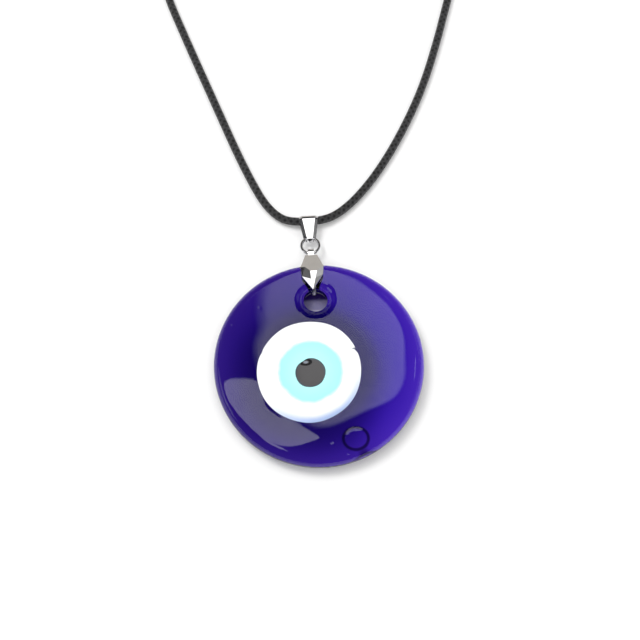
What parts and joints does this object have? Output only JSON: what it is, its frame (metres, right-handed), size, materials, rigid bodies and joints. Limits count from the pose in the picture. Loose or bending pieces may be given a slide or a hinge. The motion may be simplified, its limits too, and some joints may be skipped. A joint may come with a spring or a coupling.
{
  "type": "evil eye ornament",
  "caption": "Round cobalt glass evil eye ornament with a white, aqua and dark eye, a faceted silver pinch bail, a strap bail and a black waxed cord with its clasp and extender chain.",
  "frame": {"origin": "centre of the flat on the back of the glass disc, on the table", "axes": "+X to the right of the eye as seen from the front, +Y from the disc to its bails and cord, +Z out of the eye"},
  "size_m": [0.0846, 0.1922, 0.0064],
  "materials": {
    "cobalt_glass": "polished",
    "white_glass": "glossy",
    "aqua_glass": "glossy",
    "dark_glass": "glossy",
    "silver_plate": "polished",
    "waxed_cord": "satin",
    "tie_band": "matte"
  },
  "bodies": {
    "cord": {"cord_neck": "waxed_cord", "cord_tail_left": "waxed_cord", "cord_tail_right": "waxed_cord", "cord_coil": "waxed_cord", "coil_tie": "tie_band", "crimp_left": "silver_plate", "crimp_right": "silver_plate"},
    "strap": {"cord_bail": "silver_plate"},
    "ring": {"jump_ring": "silver_plate"},
    "clip": {"pinch_bail": "silver_plate"},
    "glass": {"glass_disc": "cobalt_glass", "eye_white": "white_glass", "eye_aqua": "aqua_glass", "eye_pupil": "dark_glass"},
    "chain_ring": {"chain_ring": "silver_plate"},
    "chain_link_1": {"chain_link_1": "silver_plate"},
    "chain_link_2": {"chain_link_2": "silver_plate"},
    "chain_link_3": {"chain_link_3": "silver_plate"},
    "chain_link_4": {"chain_link_4": "silver_plate"},
    "chain_link_5": {"chain_link_5": "silver_plate"},
    "chain_link_6": {"chain_link_6": "silver_plate"},
    "chain_link_7": {"chain_link_7": "silver_plate"},
    "chain_link_8": {"chain_link_8": "silver_plate"},
    "chain_link_9": {"chain_link_9": "silver_plate"},
    "drop": {"end_drop": "silver_plate"},
    "clasp_ring": {"clasp_ring": "silver_plate"},
    "clasp": {"clasp_body": "silver_plate", "clasp_pin": "silver_plate", "clasp_spring": "silver_plate"},
    "lever": {"clasp_lever": "silver_plate"}
  },
  "joints": [
    {"name": "strap_on_cord", "type": "hinge", "parent": "cord", "child": "strap", "pos_m": [-0.00015, 0.03731, 0.00165], "axis": [-1, 0, 0], "range_deg": [0, 80]},
    {"name": "ring_in_strap", "type": "hinge", "parent": "strap", "child": "ring", "pos_m": [-0.00015, 0.03271, 0.00165], "axis": [-1, 0, 0], "range_deg": [0, 25]},
    {"name": "clip_on_ring", "type": "hinge", "parent": "ring", "child": "clip", "pos_m": [-0.00015, 0.02835, 0.0026], "axis": [-1, 0, 0], "range_deg": [0, 40]},
    {"name": "glass_in_clip", "type": "hinge", "parent": "clip", "child": "glass", "pos_m": [0, 0.01775, 0.0029], "axis": [0, 0, 1], "range_deg": [-15, 15]},
    {"name": "ring_in_left_crimp", "type": "hinge", "parent": "cord", "child": "chain_ring", "pos_m": [0.03455, 0.13827, 0.00164], "axis": [0, 0, 1], "range_deg": [-12, 12]},
    {"name": "link_1_in_ring", "type": "hinge", "parent": "chain_ring", "child": "chain_link_1", "pos_m": [0.03757, 0.13959, 0.00164], "axis": [0, 0, 1], "range_deg": [-15, 15]},
    {"name": "link_2_in_link_1", "type": "hinge", "parent": "chain_link_1", "child": "chain_link_2", "pos_m": [0.04179, 0.14142, 0.00164], "axis": [0, 0, 1], "range_deg": [-28, 8]},
    {"name": "link_3_in_link_2", "type": "hinge", "parent": "chain_link_2", "child": "chain_link_3", "pos_m": [0.04513, 0.14459, 0.00164], "axis": [0, 0, 1], "range_deg": [-28, 8]},
    {"name": "link_4_in_link_3", "type": "hinge", "parent": "chain_link_3", "child": "chain_link_4", "pos_m": [0.04718, 0.14871, 0.00164], "axis": [0, 0, 1], "range_deg": [-28, 8]},
    {"name": "link_5_in_link_4", "type": "hinge", "parent": "chain_link_4", "child": "chain_link_5", "pos_m": [0.0477, 0.15328, 0.00164], "axis": [0, 0, 1], "range_deg": [-28, 8]},
    {"name": "link_6_in_link_5", "type": "hinge", "parent": "chain_link_5", "child": "chain_link_6", "pos_m": [0.04663, 0.15775, 0.00164], "axis": [0, 0, 1], "range_deg": [-28, 8]},
    {"name": "link_7_in_link_6", "type": "hinge", "parent": "chain_link_6", "child": "chain_link_7", "pos_m": [0.04409, 0.16159, 0.00164], "axis": [0, 0, 1], "range_deg": [-28, 8]},
    {"name": "link_8_in_link_7", "type": "hinge", "parent": "chain_link_7", "child": "chain_link_8", "pos_m": [0.04039, 0.16432, 0.00164], "axis": [0, 0, 1], "range_deg": [-28, 8]},
    {"name": "link_9_in_link_8", "type": "hinge", "parent": "chain_link_8", "child": "chain_link_9", "pos_m": [0.03598, 0.16563, 0.00164], "axis": [0, 0, 1], "range_deg": [-28, 8]},
    {"name": "drop_in_link_9", "type": "hinge", "parent": "chain_link_9", "child": "drop", "pos_m": [0.03139, 0.16535, 0.00164], "axis": [0, 0, 1], "range_deg": [-20, 8]},
    {"name": "ring_in_right_crimp", "type": "hinge", "parent": "cord", "child": "clasp_ring", "pos_m": [0.03455, 0.12394, 0.00164], "axis": [0, 0, 1], "range_deg": [-12, 12]},
    {"name": "clasp_on_ring", "type": "hinge", "parent": "clasp_ring", "child": "clasp", "pos_m": [0.03757, 0.12263, 0.00164], "axis": [0, 0, 1], "range_deg": [-15, 15]},
    {"name": "lever_on_pin", "type": "hinge", "parent": "clasp", "child": "lever", "pos_m": [0.04303, 0.122, 0.00164], "axis": [0, 0, 1], "range_deg": [-25, 0], "stiffness_Nm_per_rad": 0.004}
  ]
}
